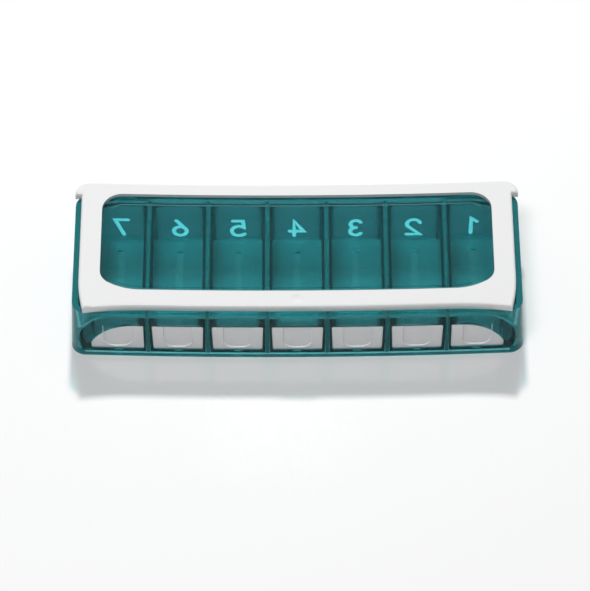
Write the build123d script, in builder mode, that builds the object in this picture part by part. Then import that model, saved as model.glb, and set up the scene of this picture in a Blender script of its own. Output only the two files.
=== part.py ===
from build123d import *
import math
import os

# A weekly pill organizer: a see-through case with a pull-out bin for each day,
# under a framed lid that swings up on two pins behind the back wall.
#
# Millimetres. X runs along the length, the bins pull out towards -Y, +Z is up.
# The origin is on the table, at the middle of the whole object's footprint.

# Bins and the bays that hold them
bin_count = 7
bin_pitch = 20.0
end_bin_extra = 3.0         # that the two end bays are wider
partition_thickness = 1.2
partition_drop = 1.0        # from the case's rim
slide_gap = 0.2             # each side of a drawer
drawer_lift = 0.3           # under a drawer
drawer_headroom = 0.3       # between a drawer's rim and the top of the arch
drawer_back_gap = 0.3

# Case
end_lean = 1.0              # of each end wall, out towards the base
case_depth = 52.0           # front face to back face on the centre line
case_height = 22.0
case_corner = 5.0
bow_radius = 1650.0         # the long walls share one gentle curve in plan
front_wall = 2.2
back_wall = 1.6
end_wall = 2.0
floor_thickness = 1.6
cavity_corner = 2.5

# Arched opening in the front wall
arch_drop = 1.9             # from the case's rim to the top of the arch
arch_shoulder = 12.0
arch_foot_radius = 13.5

# Catch tab at the middle of the front rim
tab_reach = 0.9
tab_height = 2.0
tab_width_front = 11.2
tab_width_back = 9.4

# Drawers
drawer_recess = 0.5         # of the drawer fronts behind the case's front face
drawer_front = 2.3
drawer_wall = 0.9
drawer_floor = 1.6
drawer_corner = 2.0
drawer_travel = 38.0
end_shoulder = 4.2          # of the end bins, beside their mouth

# Stop nib on the case's floor, in a groove under each drawer
nib_width = 1.8
nib_length = 1.6
nib_height = 0.9
nib_setback = 3.4           # from the front face to the nib
groove_side_gap = 0.3
groove_end_gap = 0.2

# White panel inlaid in each drawer front
panel_lift = 1.5            # above the drawer's underside
panel_drop = 4.7            # from the drawer's rim
panel_side = 0.65           # at each side, at the panel's top
panel_taper = 0.7           # that the panel is narrower at its foot
panel_thickness = 1.2
panel_sink = 0.4            # of the panel's face behind the drawer's face
panel_gap = 0.05
panel_bevel = 0.4
panel_outer_inset = 4.0     # of the two end panels' outer edge from the arch
panel_outer_radius = 15.4
panel_outer_rise = 2.6      # of those panels' straight outer edge
pad_width = 9.6
pad_depth = 0.45
pad_corner = 3.4
pad_lift = 0.9              # above the panel's foot

# Lid frame
rim_show = 2.0              # of the case beside the frame
wrap_overhang = 0.2         # of the frame past the case, at the back corners
wrap_length = 4.0           # of the frame's full-width back end
lid_front = 1.7             # front face of the case to the frame's front edge
back_overhang = 3.6         # of the frame behind the case
lid_thickness = 2.5
lid_gap = 0.1
lid_edge_round = 1.0
lid_corner_reach = 0.3      # the front corners reach this far past the middle of the edge
flare_width = 23.0          # along the front edge
flare_length = 13.0         # along the side
flare_draw_in = 1.7         # of the side at the front corner
flare_corner = 4.0
lid_back_corner = 5.0
skirt_thickness = 1.3
skirt_drop = 1.0            # stays above the pins' heads
skirt_setback = 0.8
tongue_width = 12.0
tongue_thickness = 1.0
tongue_drop = 1.5
tongue_gap = 0.15
dimple_radius = 6.0
dimple_depth = 0.35

# Window in the frame, and the pane under it
side_bar = 7.1
front_bar = 6.9
back_bar = 5.0
window_back_corner = 6.8
sweep_width = 14.0          # the front corners are long sweeping curves
sweep_length = 8.4
sweep_tight = 6.0           # the smaller of their two radii
pane_border = 2.0
pane_thickness = 1.1
pane_gap = 0.1
bead_inset = 2.0
bead_width = 0.9
bead_drop = 0.5

# Hinge
knuckle_radius = 1.9
knuckle_clear = 1.6         # behind the back wall, on the centre line
knuckle_drop = 0.3          # from the case's rim
pin_radius = 0.8
pin_clearance = 0.05
pin_press = 0.01
hinge_inset = 17.0          # from the case's end to the middle of a hinge
case_knuckle = 6.0
lid_knuckle = 4.0
knuckle_gap = 0.3
pin_head_radius = 1.25
pin_head = 0.6

# Widths, built outwards from the row of bins
arch_half = bin_pitch * bin_count / 2 + end_bin_extra
cavity_half = arch_half
case_half_top = cavity_half + end_wall
case_half_base = case_half_top + end_lean
lid_half = case_half_top - rim_show
lid_half_back = case_half_top + wrap_overhang
window_half = lid_half - side_bar
hinge_station = case_half_top - hinge_inset
far_out = 2 * case_half_base

# Depths from the front face
lid_back = case_depth + back_overhang
wrap_start = lid_back - wrap_length
window_front = lid_front + front_bar
window_back = lid_back - back_bar
hinge_back = case_depth + knuckle_radius + knuckle_clear

# The footprint's middle sets where the front face lies
front_y = (tab_reach - hinge_back - knuckle_radius) / 2
back_y = front_y + case_depth
hinge_y = front_y + hinge_back
case_front_inner = front_y + front_wall
case_back_inner = back_y - back_wall

# Heights
arch_top = case_height - arch_drop
partition_height = case_height - partition_drop
hinge_height = case_height - knuckle_radius - knuckle_drop
lid_bottom = case_height + lid_gap
lid_top = lid_bottom + lid_thickness
drawer_bottom = floor_thickness + drawer_lift
drawer_top = arch_top - drawer_headroom
panel_bottom = drawer_bottom + panel_lift
panel_top = drawer_top - panel_drop
panel_outer_low = panel_bottom + panel_outer_rise
pad_bottom = panel_bottom + pad_lift

# Drawers and their panels
drawer_half = (bin_pitch - partition_thickness) / 2 - slide_gap
drawer_face_y = front_y + drawer_recess
drawer_back_y = case_back_inner - drawer_back_gap
panel_face_y = drawer_face_y + panel_sink
panel_width_top = 2 * (drawer_half - panel_side)
panel_width_bottom = panel_width_top - panel_taper
panel_outer_edge = arch_half - panel_outer_inset
end_bin_mouth = arch_half - end_shoulder
bin_centres = [bin_pitch * (i - (bin_count - 1) / 2) for i in range(bin_count)]


def bow(x):
    """How far back the bowed walls lie at a distance x from the centre line."""
    return bow_radius - math.sqrt(bow_radius**2 - x**2)


def crescent(half, near, far):
    """Plan outline between two bowed edges, given where they cross the centre line."""
    with BuildLine() as outline:
        front = ThreePointArc((-half, near + bow(half)), (0, near), (half, near + bow(half)))
        back = ThreePointArc((-half, far + bow(half)), (0, far), (half, far + bow(half)))
        Line(front @ 0, back @ 0)
        Line(front @ 1, back @ 1)
    return make_face(outline.edges())


def arch_face(inset):
    """Front-view outline of the arch, drawn inwards by an inset, down to the table."""
    half = arch_half - inset
    top = arch_top - inset
    waist = arch_top - arch_shoulder
    shoulder = arch_shoulder - inset
    foot = arch_foot_radius - inset
    foot_angle = math.asin(waist / foot)
    foot_x = half - foot * (1 - math.cos(foot_angle))
    bend = math.sqrt(0.5) * shoulder
    half_angle = foot_angle / 2
    mid_foot_x = half - foot * (1 - math.cos(half_angle))
    mid_foot_z = waist - foot * math.sin(half_angle)
    with BuildLine() as outline:
        Line((-half + shoulder, top), (half - shoulder, top))
        Line((-foot_x, 0), (foot_x, 0))
        for side in (-1, 1):
            ThreePointArc(
                (side * (half - shoulder), top),
                (side * (half - shoulder + bend), waist + bend),
                (side * half, waist),
            )
            ThreePointArc((side * half, waist), (side * mid_foot_x, mid_foot_z), (side * foot_x, 0))
    return make_face(outline.edges())


def front_plane(y):
    """A plane that faces the front, at a distance y along the depth."""
    return Plane.XZ.offset(-y)


# Case

with BuildPart() as case:
    # Outer body: the ends lean out towards the base
    with BuildSketch(Plane.XY) as base_outline:
        crescent(case_half_base, front_y, back_y)
        fillet(base_outline.vertices(), case_corner)
    with BuildSketch(Plane.XY.offset(case_height)) as rim_outline:
        crescent(case_half_top, front_y, back_y)
        fillet(rim_outline.vertices(), case_corner)
    loft(ruled=True)
    # Cavity, open at the top
    with BuildSketch(Plane.XY.offset(floor_thickness)) as cavity_outline:
        crescent(cavity_half, case_front_inner, case_back_inner)
        fillet(cavity_outline.vertices(), cavity_corner)
    extrude(amount=case_height, mode=Mode.SUBTRACT)
    # Arched opening
    with BuildSketch(front_plane(front_y - tab_reach)):
        arch_face(0)
        with Locations((0, floor_thickness / 2)):
            Rectangle(far_out, floor_thickness, mode=Mode.SUBTRACT)
    extrude(amount=-(front_wall + bow(case_half_base) + tab_reach + case_corner), mode=Mode.SUBTRACT)
    # Partitions, from the drawer fronts to the back wall
    with BuildSketch(Plane.XY.offset(floor_thickness)) as partition_outline:
        crescent(cavity_half, drawer_face_y, back_y - back_wall / 2)
        with Locations([(x + bin_pitch / 2, 0) for x in bin_centres[:-1]]):
            Rectangle(partition_thickness, 2 * case_depth, mode=Mode.INTERSECT)
    extrude(amount=partition_height - floor_thickness)
    # Catch tab under the lid's front edge
    tab_y = front_y - tab_reach
    with BuildSketch(Plane.XY.offset(case_height - tab_height)):
        Polygon(
            (-tab_width_front / 2, tab_y),
            (tab_width_front / 2, tab_y),
            (tab_width_back / 2, case_front_inner),
            (-tab_width_back / 2, case_front_inner),
            align=None,
        )
    extrude(amount=tab_height)
    # Stop nibs, one in each bay
    with BuildSketch(Plane.XY.offset(floor_thickness)):
        with Locations([(x, front_y + bow(x) + nib_setback + nib_length / 2) for x in bin_centres]):
            Rectangle(nib_width, nib_length)
    extrude(amount=nib_height)
    # Hinge knuckles on gussets behind the back wall
    slope = math.sqrt(0.5) * knuckle_radius
    gusset_foot = back_y + bow(hinge_station) - back_wall / 2
    for side in (-1, 1):
        with BuildSketch(Plane.YZ.offset(side * hinge_station - case_knuckle / 2)):
            with Locations((hinge_y, hinge_height)):
                Circle(knuckle_radius)
            Polygon(
                (gusset_foot, hinge_height + knuckle_radius),
                (hinge_y, hinge_height + knuckle_radius),
                (hinge_y + slope, hinge_height - slope),
                (gusset_foot, hinge_height - 2 * slope - hinge_y + gusset_foot),
                align=None,
            )
        extrude(amount=case_knuckle)
        with BuildSketch(Plane.YZ.offset(side * hinge_station - case_knuckle / 2)):
            with Locations((hinge_y, hinge_height)):
                Circle(pin_radius + pin_clearance)
        extrude(amount=case_knuckle, mode=Mode.SUBTRACT)


# Drawers and their white panels

def bowed_slab(section, near, far):
    """A front-view section given thickness between two bowed faces."""
    with BuildPart() as slab:
        with BuildSketch(front_plane(near - tab_reach)):
            add(section)
        extrude(amount=-(far - near + 2 * case_corner))
        with BuildSketch(Plane.XY):
            crescent(case_half_base, near, far)
        extrude(amount=2 * case_height, mode=Mode.INTERSECT)
    return slab.part


def bay_section(x, inset):
    """Front-view section of the drawer centred at x, inset from its usual running gaps."""
    half = drawer_half - inset
    outer = far_out if abs(x) == bin_centres[-1] else half
    low = x - (outer if x < 0 else half)
    high = x + (outer if x > 0 else half)
    bottom = drawer_bottom + inset
    with BuildSketch() as section:
        arch_face(drawer_headroom + inset)
        with Locations(((low + high) / 2, bottom)):
            Rectangle(high - low, case_height, align=(Align.CENTER, Align.MIN), mode=Mode.INTERSECT)
    return section.sketch


def panel_section(x, gap):
    """Front-view outline of a white panel, grown by a gap."""
    inner = panel_width_top / 2
    with BuildSketch() as section:
        if abs(x) < bin_centres[-1]:
            Polygon(
                (x - panel_width_bottom / 2, panel_bottom),
                (x + panel_width_bottom / 2, panel_bottom),
                (x + inner, panel_top),
                (x - inner, panel_top),
                align=None,
            )
            chamfer(section.vertices(), panel_bevel)
        else:
            # The end panels' outer shoulder is one long arc under the arch
            centre_z = panel_top - panel_outer_radius
            drop = panel_outer_low - centre_z
            centre_x = panel_outer_edge - math.sqrt(panel_outer_radius**2 - drop**2)
            half_angle = (math.pi / 2 + math.atan2(drop, panel_outer_edge - centre_x)) / 2
            with BuildLine() as outline:
                top = Line((abs(x) - inner, panel_top), (centre_x, panel_top))
                ThreePointArc(
                    top @ 1,
                    (
                        centre_x + panel_outer_radius * math.cos(half_angle),
                        centre_z + panel_outer_radius * math.sin(half_angle),
                    ),
                    (panel_outer_edge, panel_outer_low),
                )
                Polyline(
                    (panel_outer_edge, panel_outer_low),
                    (panel_outer_edge, panel_bottom),
                    (abs(x) - inner, panel_bottom),
                    top @ 0,
                )
            make_face(outline.edges())
            if x < 0:
                mirror(about=Plane.YZ, mode=Mode.REPLACE)
            chamfer(section.vertices().group_by(Axis.Y)[0], panel_bevel)
        if gap:
            offset(amount=gap, kind=Kind.INTERSECTION)
    return section.sketch


def pad_section(x):
    """Front-view outline of a thumb pad: round at the foot, open at the panel's top edge."""
    with BuildSketch() as section:
        with Locations((x, pad_bottom)):
            Rectangle(pad_width, case_height, align=(Align.CENTER, Align.MIN))
        fillet(section.vertices().group_by(Axis.Y)[0], pad_corner)
    return section.sketch


def make_panel(x):
    """A white panel that follows the bow of the drawer's face, with its thumb pad."""
    blank = bowed_slab(panel_section(x, 0), panel_face_y, panel_face_y + panel_thickness)
    pad = bowed_slab(pad_section(x), panel_face_y - panel_sink, panel_face_y + pad_depth)
    with BuildPart() as panel:
        add(blank)
        add(pad, mode=Mode.SUBTRACT)
    return panel.part


def make_drawer(x):
    """A see-through bin: a front with a pocket for its panel, a tray, and a stop groove underneath."""
    side = math.copysign(1, x)
    at_end = abs(x) == bin_centres[-1]
    tray_half = drawer_half - drawer_wall
    low = abs(x) - tray_half
    high = end_bin_mouth if at_end else abs(x) + tray_half
    tray_front = drawer_face_y + drawer_front + bow(high)
    tray_back = drawer_back_y - drawer_wall + bow(low)
    tray_floor = drawer_bottom + drawer_floor
    pocket = bowed_slab(
        panel_section(x, panel_gap), front_y - tab_reach, panel_face_y + panel_thickness
    )
    with BuildPart() as drawer:
        add(bowed_slab(bay_section(x, 0), drawer_face_y, drawer_back_y))
        if at_end:
            # The outer back corner is rounded like the case's own
            with BuildSketch(Plane.XY) as room:
                crescent(cavity_half - slide_gap, drawer_face_y, drawer_back_y)
                fillet(room.vertices().group_by(Axis.Y)[-1], cavity_corner)
            extrude(amount=case_height, mode=Mode.INTERSECT)
        # Tray
        with BuildSketch(Plane.XY.offset(tray_floor)):
            with Locations((side * (low + high) / 2, (tray_front + tray_back) / 2)):
                RectangleRounded(high - low, tray_back - tray_front, drawer_corner)
        extrude(amount=case_height, mode=Mode.SUBTRACT)
        if at_end:
            # The end bins' trays reach out under the rounded shoulder
            with BuildSketch(front_plane(tray_front + drawer_corner)):
                arch_face(drawer_headroom + drawer_wall)
                with Locations((side * abs(x), tray_floor)):
                    Rectangle(
                        2 * far_out, case_height, align=(Align.CENTER, Align.MIN), mode=Mode.INTERSECT
                    )
                with Locations((side * (abs(x) + far_out / 2), 0)):
                    Rectangle(far_out, 2 * case_height, mode=Mode.INTERSECT)
            extrude(amount=-(tray_back - tray_front - 2 * drawer_corner), mode=Mode.SUBTRACT)
        add(pocket, mode=Mode.SUBTRACT)
        # Stop groove: the nib on the floor meets its back end when the drawer is out
        groove_length = nib_length + drawer_travel + 2 * groove_end_gap
        groove_front = front_y + bow(x) + nib_setback - groove_end_gap
        groove_roof = floor_thickness + nib_height + groove_side_gap
        with BuildSketch(Plane.XY.offset(drawer_bottom)):
            with Locations((x, groove_front + groove_length / 2)):
                Rectangle(nib_width + 2 * groove_side_gap, groove_length)
        extrude(amount=groove_roof - drawer_bottom, mode=Mode.SUBTRACT)
    return drawer.part


drawers = [make_drawer(x) for x in reversed(bin_centres)]
panels = [make_panel(x) for x in reversed(bin_centres)]


# Lid

def lid_outline():
    """Plan outline of the frame: flared front corners, and full-width back corners."""
    front = front_y + lid_front
    back = front_y + lid_back
    step = front_y + wrap_start
    flare_start = lid_half - flare_width
    with BuildLine() as outline:
        edge = ThreePointArc(
            (0, front),
            (flare_start / 2, front + bow(flare_start / 2)),
            (flare_start, front + bow(flare_start)),
        )
        corner = (lid_half - flare_draw_in, front - lid_corner_reach)
        side_start = (lid_half, front + flare_length)
        TangentArc(edge @ 1, corner, tangent=edge % 1)
        TangentArc(side_start, corner, tangent=(0, -1))
        Polyline(
            side_start,
            (lid_half, step),
            (lid_half_back, step),
            (lid_half_back, back + bow(lid_half_back)),
        )
        ThreePointArc(
            (lid_half_back, back + bow(lid_half_back)),
            (lid_half_back / 2, back + bow(lid_half_back / 2)),
            (0, back),
        )
        mirror(about=Plane.YZ)
    with BuildSketch() as face:
        make_face(outline.edges())
        corners = face.vertices()
        fillet(corners.group_by(Axis.Y)[-1], lid_back_corner)
        fillet(corners.group_by(Axis.Y)[0], flare_corner)
    return face.sketch


def skirt_inside():
    """Plan outline of the space that the skirt wraps."""
    with BuildSketch() as face:
        crescent(lid_half_back - skirt_thickness, front_y, front_y + lid_back - skirt_thickness)
        fillet(face.vertices().group_by(Axis.Y)[-1], lid_back_corner - skirt_thickness)
    return face.sketch


def window_outline(grow):
    """Plan outline of the window, with long sweeping front corners, grown by an amount."""
    half = window_half + grow
    near = front_y + window_front - grow
    far = front_y + window_back + grow
    flat = window_half - sweep_width
    # Each front corner is a wide arc that runs into a tight one
    run = sweep_width - sweep_tight
    wide = (run**2 + sweep_length**2 - sweep_tight**2) / (2 * (sweep_length - sweep_tight))
    turn = math.degrees(math.atan2(run, wide - sweep_length))
    start_y = near + grow + bow(flat)
    side_y = start_y + sweep_length
    with BuildLine() as outline:
        ThreePointArc((0, near), (flat / 2, near + bow(flat / 2)), (flat, near + bow(flat)))
        CenterArc((flat, start_y + wide), wide + grow, -90, turn)
        CenterArc((flat + run, side_y), sweep_tight + grow, turn - 90, 90 - turn)
        Line((half, side_y), (half, far + bow(half)))
        ThreePointArc((half, far + bow(half)), (half / 2, far + bow(half / 2)), (0, far))
        mirror(about=Plane.YZ)
    with BuildSketch() as face:
        make_face(outline.edges())
        fillet(face.vertices().group_by(Axis.Y)[-1], window_back_corner + grow)
    return face.sketch


with BuildPart() as lid_frame:
    with BuildSketch(Plane.XY.offset(lid_bottom)):
        add(lid_outline())
    extrude(amount=lid_thickness)
    top_edges = lid_frame.faces().sort_by(Axis.Z)[-1].edges()
    fillet(top_edges, lid_edge_round)
    # Window, and the pane's seat under it
    with BuildSketch(Plane.XY.offset(lid_bottom)):
        add(window_outline(0))
    extrude(amount=lid_thickness, mode=Mode.SUBTRACT)
    with BuildSketch(Plane.XY.offset(lid_bottom)):
        add(window_outline(pane_border + pane_gap))
    extrude(amount=pane_gap + pane_thickness, mode=Mode.SUBTRACT)
    # Skirt that rolls down behind the back wall, open where the case's knuckles stand
    with BuildSketch(Plane.XY.offset(lid_bottom - skirt_drop)):
        add(lid_outline())
        add(skirt_inside(), mode=Mode.SUBTRACT)
        with Locations((0, front_y + wrap_start + skirt_setback + case_depth / 2)):
            Rectangle(far_out, case_depth, mode=Mode.INTERSECT)
        with Locations([(side * hinge_station, hinge_y) for side in (-1, 1)]):
            Rectangle(case_knuckle + 2 * knuckle_gap, case_depth, mode=Mode.SUBTRACT)
    extrude(amount=skirt_drop)
    # Knuckles on each side of the case's
    knuckle_reach = case_knuckle / 2 + knuckle_gap
    for station in (-hinge_station, hinge_station):
        for start in (station - knuckle_reach - lid_knuckle, station + knuckle_reach):
            with BuildSketch(Plane.YZ.offset(start)):
                with Locations((hinge_y, hinge_height)):
                    Circle(knuckle_radius)
                Polygon(
                    (hinge_y - knuckle_radius, hinge_height),
                    (hinge_y + knuckle_radius, hinge_height),
                    (hinge_y + pin_radius, lid_bottom + lid_gap),
                    (hinge_y - knuckle_radius, lid_bottom + lid_gap),
                    align=None,
                )
            extrude(amount=lid_knuckle)
        with BuildSketch(Plane.YZ.offset(station - knuckle_reach - lid_knuckle)):
            with Locations((hinge_y, hinge_height)):
                Circle(pin_radius + pin_press)
        extrude(amount=2 * (knuckle_reach + lid_knuckle), mode=Mode.SUBTRACT)
    # Snap tongue inside the front wall
    with BuildSketch(Plane.XY.offset(lid_bottom - tongue_drop)):
        with Locations((0, case_front_inner + tongue_gap + tongue_thickness / 2)):
            Rectangle(tongue_width, tongue_thickness)
    extrude(amount=tongue_drop)
    # Thumb dimple over the catch tab
    with Locations((0, front_y + (lid_front + window_front) / 2, lid_top + dimple_radius - dimple_depth)):
        Sphere(dimple_radius, mode=Mode.SUBTRACT)

with BuildPart() as lid_pane:
    with BuildSketch(Plane.XY.offset(lid_bottom + pane_gap)):
        add(window_outline(pane_border))
    extrude(amount=pane_thickness)
    with BuildSketch(Plane.XY.offset(lid_bottom + pane_gap)):
        add(window_outline(-bead_inset))
        add(window_outline(-bead_inset - bead_width), mode=Mode.SUBTRACT)
    extrude(amount=-bead_drop)


# Hinge pins

def make_pin(station):
    """A headed pin through one hinge: its head lies outboard."""
    side = math.copysign(1, station)
    reach = case_knuckle / 2 + knuckle_gap + lid_knuckle
    with BuildPart() as pin:
        with BuildSketch(Plane.YZ.offset(station - reach)):
            with Locations((hinge_y, hinge_height)):
                Circle(pin_radius)
        extrude(amount=2 * reach)
        with BuildSketch(Plane.YZ.offset(station + side * reach)):
            with Locations((hinge_y, hinge_height)):
                Circle(pin_head_radius)
        extrude(amount=side * pin_head)
    return pin.part


pins = [make_pin(-hinge_station), make_pin(hinge_station)]


# Files

def save(solid, name):
    """Label a finished piece and write it out."""
    solid.label = name
    export_step(solid, f"parts/{name}.step")


os.makedirs("parts", exist_ok=True)
save(case.part, "case")
for number, (drawer, panel) in enumerate(zip(drawers, panels), start=1):
    save(drawer, f"drawer_{number}")
    save(panel, f"drawer_panel_{number}")
save(lid_frame.part, "lid_frame")
save(lid_pane.part, "lid_pane")
save(pins[0], "hinge_pin_left")
save(pins[1], "hinge_pin_right")
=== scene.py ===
import math

import bpy
from mathutils import Matrix, Vector


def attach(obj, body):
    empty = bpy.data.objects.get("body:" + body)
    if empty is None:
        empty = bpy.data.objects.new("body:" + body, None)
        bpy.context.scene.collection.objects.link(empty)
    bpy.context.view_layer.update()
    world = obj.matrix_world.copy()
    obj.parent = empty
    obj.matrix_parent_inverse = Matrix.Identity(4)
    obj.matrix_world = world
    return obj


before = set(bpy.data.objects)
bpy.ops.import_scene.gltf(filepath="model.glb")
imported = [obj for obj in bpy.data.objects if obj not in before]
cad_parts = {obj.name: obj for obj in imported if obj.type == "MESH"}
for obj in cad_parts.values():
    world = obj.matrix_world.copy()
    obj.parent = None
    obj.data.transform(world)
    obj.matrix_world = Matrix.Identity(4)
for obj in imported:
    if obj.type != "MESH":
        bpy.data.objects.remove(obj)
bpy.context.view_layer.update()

# Sizes shared with the solids, in metres
BIN_PITCH = 0.020
BOW_RADIUS = 1.650
CASE_BACK = 0.02375
PANEL_FACE = -0.02735
PANEL_TOP = 0.0151
DAYS = range(1, 8)
MIDDLE_DAY = 4


def day_x(day):
    """Where a day's bin has its middle; day 1 is at +X."""
    return (MIDDLE_DAY - day) * BIN_PITCH


def bow(x):
    """How far the bowed front and back run back at x."""
    return BOW_RADIUS - math.sqrt(BOW_RADIUS**2 - x * x)


# ---------------------------------------------------------------- shader helpers


def shader(name):
    """A new material, its node tree and its Principled shader."""
    material = bpy.data.materials.new(name)
    material.use_nodes = True
    tree = material.node_tree
    return material, tree, tree.nodes["Principled BSDF"]


def node(tree, kind, **values):
    """A new node of a kind with some inputs set; an underscore stands for a space."""
    made = tree.nodes.new(f"ShaderNode{kind}")
    for socket, value in values.items():
        made.inputs[socket.replace("_", " ")].default_value = value
    return made


def spread(tree, source, target, **limits):
    """Feeds a value to a socket through a map range with the given limits."""
    mapped = node(tree, "MapRange", **limits)
    tree.links.new(source, mapped.inputs["Value"])
    tree.links.new(mapped.outputs["Result"], target)


GRAIN_LOW = 0.3
GRAIN_HIGH = 0.7


def grain(tree, scale, detail, low, high, target):
    """Fine noise over the object's own coordinates, spread between two values and fed to a socket."""
    place = node(tree, "TexCoord")
    noise = node(tree, "TexNoise", Scale=scale, Detail=detail)
    tree.links.new(place.outputs["Object"], noise.inputs["Vector"])
    limits = {"From_Min": GRAIN_LOW, "From_Max": GRAIN_HIGH, "To_Min": low, "To_Max": high}
    spread(tree, noise.outputs["Fac"], target, **limits)
    return noise


def relief(tree, principled, noise, strength, distance):
    """The same noise as a faint relief of the surface."""
    bump = node(tree, "Bump", Strength=strength, Distance=distance)
    tree.links.new(noise.outputs["Fac"], bump.inputs["Height"])
    tree.links.new(bump.outputs["Normal"], principled.inputs["Normal"])


def blend(tree, share, first, second):
    """A mix of two shaders; share is the second one's part, a number or a socket."""
    mix = node(tree, "MixShader")
    if isinstance(share, float):
        mix.inputs[0].default_value = share
    else:
        tree.links.new(share, mix.inputs[0])
    tree.links.new(first, mix.inputs[1])
    tree.links.new(second, mix.inputs[2])
    return mix.outputs["Shader"]


def shown(tree):
    """A socket that is 1 for rays that show the backdrop: from the camera, off gloss and through plastic."""
    path = node(tree, "LightPath")
    total = path.outputs["Is Camera Ray"]
    for name in ("Is Glossy Ray", "Is Transmission Ray"):
        more = node(tree, "Math")
        more.operation = "MAXIMUM"
        tree.links.new(total, more.inputs[0])
        tree.links.new(path.outputs[name], more.inputs[1])
        total = more.outputs["Value"]
    return total


# ---------------------------------------------------------------- see-through teal

CLEAR_SURFACE = (0.96, 1.0, 1.0, 1)
# Painted shade: the darker surface colour of the case's back wall, faded in between two places along Y
BACK_WALL_PAINTED_SHADE = (0.14, 0.36, 0.40, 1)
PAINTED_SHADE_START = 0.0205
PAINTED_SHADE_FULL = 0.0220
TEAL_GLOSS = (0.30, 0.85, 0.90, 1)
TEAL_PIGMENT = (0.05, 0.50, 0.53, 1)
TEAL_DEPTH = (0.03, 0.700, 0.722, 1)
SHADOW_TINT = (0.74, 0.80, 0.80, 1)
PLASTIC_IOR = 1.52
WAVE_SCALE = 260
WAVE_DETAIL = 3
WAVE_DEPTH = 0.0001


def clear_plastic(name, density, low, high, wave, body=0.0):
    """Glossy see-through teal that lamps reach through, that darkens with its depth and has some body."""
    material, tree, glass = shader(name)
    glass.inputs["Base Color"].default_value = CLEAR_SURFACE
    glass.inputs["Transmission Weight"].default_value = 1.0
    glass.inputs["IOR"].default_value = PLASTIC_IOR
    glass.inputs["Specular Tint"].default_value = TEAL_GLOSS
    noise = grain(tree, WAVE_SCALE, WAVE_DETAIL, low, high, glass.inputs["Roughness"])
    relief(tree, glass, noise, wave, WAVE_DEPTH)
    pigment = node(tree, "BsdfDiffuse", Color=TEAL_PIGMENT)
    cloudy = blend(tree, body, glass.outputs["BSDF"], pigment.outputs["BSDF"])
    tint = node(tree, "BsdfTransparent", Color=SHADOW_TINT)
    path = node(tree, "LightPath")
    out = tree.nodes["Material Output"]
    surface = blend(tree, path.outputs["Is Shadow Ray"], cloudy, tint.outputs["BSDF"])
    tree.links.new(surface, out.inputs["Surface"])
    depth = node(tree, "VolumeAbsorption", Color=TEAL_DEPTH, Density=float(density))
    tree.links.new(depth.outputs["Volume"], out.inputs["Volume"])
    return material


def paint_back_wall_shade(material):
    """Paints shade on the case's back wall, which starts at these places along Y: a darker surface colour
    that stands in for the shaded table seen through it.
    """
    tree = material.node_tree
    place = node(tree, "TexCoord")
    axes = node(tree, "SeparateXYZ")
    tint = node(tree, "Mix")
    tint.data_type = "RGBA"
    tint.inputs["A"].default_value = CLEAR_SURFACE
    tint.inputs["B"].default_value = BACK_WALL_PAINTED_SHADE
    tree.links.new(place.outputs["Object"], axes.inputs[0])
    limits = {"From_Min": PAINTED_SHADE_START, "From_Max": PAINTED_SHADE_FULL}
    spread(tree, axes.outputs["Y"], tint.inputs["Factor"], **limits)
    tree.links.new(tint.outputs["Result"], tree.nodes["Principled BSDF"].inputs["Base Color"])


# ---------------------------------------------------------------- solid plastics and steel

MOULD_DETAIL = 4
MOULD_DEPTH = 0.00005
# Painted glow of the day numbers: the emission colour, and its strengths on their inner and outer sides
MARK_PAINTED_GLOW_COLOUR = (0.85, 0.96, 0.96, 1)
FACING_BINS = -1.0
FACING_SIDEWAYS = -0.5
MARK_INNER_PAINTED_GLOW = 2.6
MARK_OUTER_PAINTED_GLOW = 0.25
STEEL = (0.62, 0.62, 0.64, 1)


def solid_plastic(name, colour, low, high, scale, strength):
    """Opaque moulded plastic with a faint grain."""
    material, tree, plastic = shader(name)
    plastic.inputs["Base Color"].default_value = (*colour, 1)
    noise = grain(tree, scale, MOULD_DETAIL, low, high, plastic.inputs["Roughness"])
    relief(tree, plastic, noise, strength, MOULD_DEPTH)
    return material


def paint_glow_inner_side(material):
    """Paints a glow on the numbers' inner side, which is seen through the wall; the emission stands in for
    light reaching them there.
    """
    tree = material.node_tree
    plastic = tree.nodes["Principled BSDF"]
    plastic.inputs["Emission Color"].default_value = MARK_PAINTED_GLOW_COLOUR
    place = node(tree, "TexCoord")
    axes = node(tree, "SeparateXYZ")
    tree.links.new(place.outputs["Normal"], axes.inputs[0])
    limits = {"From_Min": FACING_BINS, "From_Max": FACING_SIDEWAYS}
    limits.update({"To_Min": MARK_INNER_PAINTED_GLOW, "To_Max": MARK_OUTER_PAINTED_GLOW})
    spread(tree, axes.outputs["Y"], plastic.inputs["Emission Strength"], **limits)


def drawn_steel(name):
    """The bare metal of the hinge pins."""
    material, tree, metal = shader(name)
    metal.inputs["Base Color"].default_value = STEEL
    metal.inputs["Metallic"].default_value = 1.0
    grain(tree, 1400, 5, 0.22, 0.40, metal.inputs["Roughness"])
    return material


# ---------------------------------------------------------------- finishes of the solids

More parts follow.
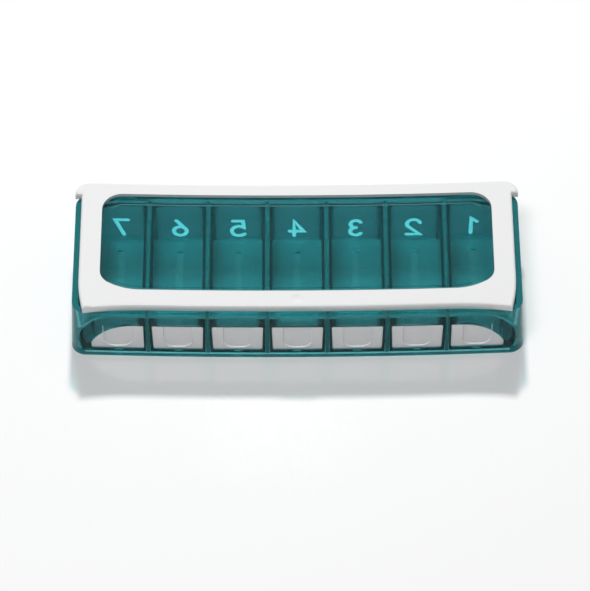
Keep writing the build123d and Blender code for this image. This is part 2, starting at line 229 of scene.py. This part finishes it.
CASE_TEAL = clear_plastic("case_clear_teal", 400, 0.015, 0.05, 0.10, 0.24)
DRAWER_TEAL = clear_plastic("drawer_clear_teal", 450, 0.03, 0.09, 0.15)
PANE_TEAL = clear_plastic("pane_clear_teal", 480, 0.01, 0.04, 0.06)
LID_WHITE = solid_plastic("lid_gloss_white", (0.77, 0.77, 0.77), 0.26, 0.30, 2600, 0.03)
PANEL_WHITE = solid_plastic("panel_satin_white", (0.86, 0.86, 0.87), 0.40, 0.46, 3000, 0.06)
BEAD_WHITE = solid_plastic("pad_bead_white", (0.88, 0.89, 0.90), 0.30, 0.42, 900, 0.10)
MARK_AQUA_PAINTED_GLOW = solid_plastic("day_mark_aqua_painted_glow", (0.80, 0.92, 0.92), 0.40, 0.55, 1200, 0.15)
PIN_STEEL = drawn_steel("pin_drawn_steel")
# Painted shade on the case's back wall
paint_back_wall_shade(CASE_TEAL)
# Painted glow on the day numbers' inner side
paint_glow_inner_side(MARK_AQUA_PAINTED_GLOW)

FINISH = {"case": CASE_TEAL, "lid_frame": LID_WHITE, "lid_pane": PANE_TEAL}
FINISH["hinge_pin_left"] = FINISH["hinge_pin_right"] = PIN_STEEL
for day in DAYS:
    FINISH[f"drawer_{day}"] = DRAWER_TEAL
    FINISH[f"drawer_panel_{day}"] = PANEL_WHITE
for name, material in FINISH.items():
    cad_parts[name].data.materials[0] = material

# ---------------------------------------------------------------- raised strokes


def piece(name, verts, faces, material, body):
    """A closed mesh with one material that moves with a body."""
    mesh = bpy.data.meshes.new(name)
    mesh.from_pydata(verts, [], faces)
    mesh.update()
    mesh.materials.append(material)
    made = bpy.data.objects.new(name, mesh)
    bpy.context.scene.collection.objects.link(made)
    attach(made, body)


def arc(cx, cy, radius, start, end, steps):
    """Points on an arc, angles in degrees."""
    turns = [math.radians(start + (end - start) * i / steps) for i in range(steps + 1)]
    return [(cx + radius * math.cos(t), cy + radius * math.sin(t)) for t in turns]


def heading(start, end):
    """The direction from one point to another."""
    return Vector((end[0] - start[0], end[1] - start[1])).normalized()


def beside(point, along, reach, keep):
    """A point moved on along a direction and to its left, as shares of that direction's length."""
    x, y = point
    return (x + along.x * reach - along.y * keep, y + along.y * reach + along.x * keep)


# The rounded end of a stroke: how far past its last point, and what half width is left there
END_STEPS = ((0.55, 0.83), (1.0, 0.35))
SHARPEST_MITRE = 0.5


def side_lines(path, half):
    """The two edges of a stroke along a path, with mitred bends and rounded ends."""
    left, right = [], []
    last = len(path) - 1
    for i, point in enumerate(path):
        before = heading(path[i - 1], point) if i else heading(point, path[1])
        after = heading(point, path[i + 1]) if i < last else before
        along = (before + after).normalized()
        across = along * (half / max(along.dot(after), SHARPEST_MITRE))
        left.append(beside(point, across, 0, 1))
        right.append(beside(point, across, 0, -1))
    first = heading(path[1], path[0]) * half
    final = heading(path[last - 1], path[last]) * half
    for reach, keep in END_STEPS:
        left.insert(0, beside(path[0], first, reach, -keep))
        right.insert(0, beside(path[0], first, reach, keep))
        left.append(beside(path[last], final, reach, keep))
        right.append(beside(path[last], final, reach, -keep))
    return left, right


def stroke(path, half, rise, place, flank):
    """A raised stroke. place(u, v, height) gives a point in space; flank is the top's share of the width."""
    left, right = side_lines(path, half)
    left_top, right_top = side_lines(path, half * flank)
    verts, faces = [], []
    for rows, height in ((left, 0.0), (left_top, rise), (right_top, rise), (right, 0.0)):
        verts += [place(u, v, height) for u, v in rows]
    n = len(left)
    for k in range(4):
        a, b = k * n, (k + 1) % 4 * n
        faces += [(a + i, a + i + 1, b + i + 1, b + i) for i in range(n - 1)]
    faces.append((0, n, 2 * n, 3 * n))
    faces.append((4 * n - 1, 3 * n - 1, 2 * n - 1, n - 1))
    return verts, faces


def join(parts):
    """Several meshes as one."""
    verts, faces = [], []
    for more_verts, more_faces in parts:
        base = len(verts)
        verts += more_verts
        faces += [tuple(base + i for i in f) for f in more_faces]
    return verts, faces


# ---------------------------------------------------------------- day numbers

# Plain numbers 1 to 7, each in a box about 0.6 wide and 1 high
NUMBERS = {
    1: [[(0.08, 0.76), (0.34, 1.0), (0.34, 0.0)]],
    2: [arc(0.3, 0.70, 0.30, 165, -35, 14) + [(0.02, 0.0), (0.60, 0.0)]],
    3: [arc(0.27, 0.755, 0.245, 150, -90, 12), arc(0.27, 0.255, 0.255, 90, -150, 12)],
    4: [[(0.42, 0.0), (0.42, 1.0), (0.0, 0.30), (0.62, 0.30)]],
    5: [[(0.54, 1.0), (0.10, 1.0), (0.06, 0.55)] + arc(0.28, 0.32, 0.32, 105, -140, 14)],
    6: [[(0.46, 1.0), (0.10, 0.50)] + arc(0.30, 0.29, 0.29, 150, 480, 22)],
    7: [[(0.02, 1.0), (0.58, 1.0), (0.22, 0.0)]],
}
NUMBER_MIDDLE = 0.3
MARK_HEIGHT = 0.0076
MARK_FOOT = 0.0030
MARK_HALF = 0.00070
MARK_RISE = 0.00018
MARK_SINK = 0.00004
MARK_FLANK = 0.7


def day_number(day):
    """A number raised on the outside of the case's back wall, to be read from behind."""
    centre = day_x(day)

    def on_back_wall(u, v, height):
        x = centre - (u - NUMBER_MIDDLE) * MARK_HEIGHT
        return (x, CASE_BACK + bow(x) - MARK_SINK + height, MARK_FOOT + v * MARK_HEIGHT)

    half = MARK_HALF / MARK_HEIGHT
    rise = MARK_RISE + MARK_SINK
    verts, faces = join([stroke(line, half, rise, on_back_wall, MARK_FLANK) for line in NUMBERS[day]])
    piece(f"day_number_{day}", verts, faces, MARK_AQUA_PAINTED_GLOW, "case")


# ---------------------------------------------------------------- thumb pads

PAD_HALF = 0.00490
PAD_LOW = 0.00425
PAD_TOP_GAP = 0.0004
PAD_HIGH = PANEL_TOP - PAD_TOP_GAP
PAD_CORNER = 0.0035
BEAD_HALF = 0.00019
BEAD_RISE = 0.00018
BEAD_SINK = 0.00003
BEAD_FLANK = 0.5
ROUND_STEPS = 8
ROUND_X = PAD_HALF - PAD_CORNER
ROUND_Z = PAD_LOW + PAD_CORNER
PAD_LINE = [(-PAD_HALF, PAD_HIGH)]
PAD_LINE += arc(-ROUND_X, ROUND_Z, PAD_CORNER, 180, 270, ROUND_STEPS)
PAD_LINE += arc(ROUND_X, ROUND_Z, PAD_CORNER, 270, 360, ROUND_STEPS)
PAD_LINE += [(PAD_HALF, PAD_HIGH)]


def pad_bead(day):
    """The fine raised line round a drawer's thumb pad."""
    centre = day_x(day)

    def on_panel(u, v, height):
        return (centre + u, PANEL_FACE + bow(centre + u) + BEAD_SINK - height, v)

    verts, faces = stroke(PAD_LINE, BEAD_HALF, BEAD_RISE + BEAD_SINK, on_panel, BEAD_FLANK)
    piece(f"pad_bead_{day}", verts, faces, BEAD_WHITE, f"drawer_{day}")


for day in DAYS:
    day_number(day)
for day in DAYS:
    pad_bead(day)

# ---------------------------------------------------------------- table

TABLE_HALF = 4.0
TABLE_DROP = 0.0001
TABLE_GREY = (0.84, 0.84, 0.84, 1)
TABLE_IOR = 1.8
TABLE_LIFT = 0.09


def table_material():
    """A pale glossy table, lifted a little where it is seen."""
    material, tree, top = shader("studio_table")
    top.inputs["Base Color"].default_value = TABLE_GREY
    top.inputs["IOR"].default_value = TABLE_IOR
    top.inputs["Emission Color"].default_value = (1.0, 1.0, 1.0, 1)
    grain(tree, 9, 3, 0.07, 0.11, top.inputs["Roughness"])
    lift = node(tree, "Math")
    lift.operation = "MULTIPLY"
    lift.inputs[1].default_value = TABLE_LIFT
    tree.links.new(shown(tree), lift.inputs[0])
    tree.links.new(lift.outputs["Value"], top.inputs["Emission Strength"])
    return material


def studio_floor():
    """The plain table top, a hair below the object."""
    mesh = bpy.data.meshes.new("studio_floor")
    ends = (-TABLE_HALF, TABLE_HALF)
    mesh.from_pydata([(x, y, 0) for y in ends for x in ends], [], [(0, 1, 3, 2)])
    mesh.materials.append(table_material())
    floor = bpy.data.objects.new("studio_floor", mesh)
    floor.location.z = -TABLE_DROP
    bpy.context.scene.collection.objects.link(floor)


# ---------------------------------------------------------------- light

KEY_PLACE = (-0.16, -0.40, 1.06)
KEY_SIZE = (0.36, 0.26)
KEY_WATTS = 5.4
BACK_PLACE = (-0.01, 0.74, 1.00)
BACK_AIM = (0, 0, 0.01)
BACK_SIZE = (0.10, 0.10)
BACK_WATTS = 11.4
AIR_COLOUR = (0.96, 0.98, 1.0, 1)
AIR_STRENGTH = 0.14
BACKDROP = (0.48, 0.49, 0.50, 1)


def lamp(name, place, aim, size, power):
    """A white soft box at a place, turned to a point."""
    data = bpy.data.lights.new(name, "AREA")
    data.shape = "RECTANGLE"
    data.size, data.size_y = size
    data.energy = power
    made = bpy.data.objects.new(name, data)
    made.location = place
    made.rotation_euler = (Vector(aim) - Vector(place)).to_track_quat("-Z", "Y").to_euler()
    bpy.context.scene.collection.objects.link(made)
    return made


def studio_air():
    """Faint light from all round, and a grey backdrop for the rays that show it."""
    world = bpy.data.worlds.new("studio")
    world.use_nodes = True
    bpy.context.scene.world = world
    tree = world.node_tree
    air = tree.nodes["Background"]
    air.inputs["Color"].default_value = AIR_COLOUR
    air.inputs["Strength"].default_value = AIR_STRENGTH
    backdrop = node(tree, "Background", Color=BACKDROP)
    both = blend(tree, shown(tree), air.outputs["Background"], backdrop.outputs["Background"])
    tree.links.new(both, tree.nodes["World Output"].inputs["Surface"])


studio_floor()
lamp("key_softbox", KEY_PLACE, (0, 0, 0), KEY_SIZE, KEY_WATTS)
back_lamp = lamp("back_lamp", BACK_PLACE, BACK_AIM, BACK_SIZE, BACK_WATTS)
back_lamp.visible_glossy = back_lamp.visible_transmission = False
studio_air()

# ---------------------------------------------------------------- camera, fitted to the photo

ELEVATION = math.radians(50.4)
ROLL = math.radians(0.28)
DISTANCE = 1.281
AIM = Vector((-0.00075, -0.01266, 0.0136))
FOCAL_PIXELS = 3816
FRAME_PIXELS = 591
SENSOR_WIDTH = 36
NEAREST = 0.05
FARTHEST = 50


def photo_camera():
    """A camera in front of the object and above it, turned by a slight roll."""
    back = Vector((0, -math.cos(ELEVATION), math.sin(ELEVATION)))
    level = Vector((1, 0, 0))
    upright = back.cross(level)
    right = level * math.cos(ROLL) - upright * math.sin(ROLL)
    up = level * math.sin(ROLL) + upright * math.cos(ROLL)
    lens = bpy.data.cameras.new("photo_camera")
    lens.sensor_width = SENSOR_WIDTH
    lens.lens = FOCAL_PIXELS * SENSOR_WIDTH / FRAME_PIXELS
    lens.clip_start = NEAREST
    lens.clip_end = FARTHEST
    camera = bpy.data.objects.new("photo_camera", lens)
    turn = Matrix((right, up, back)).transposed().to_4x4()
    camera.matrix_world = Matrix.Translation(AIM + back * DISTANCE) @ turn
    bpy.context.scene.collection.objects.link(camera)
    bpy.context.scene.camera = camera


photo_camera()
bpy.context.scene.view_settings.view_transform = "Standard"
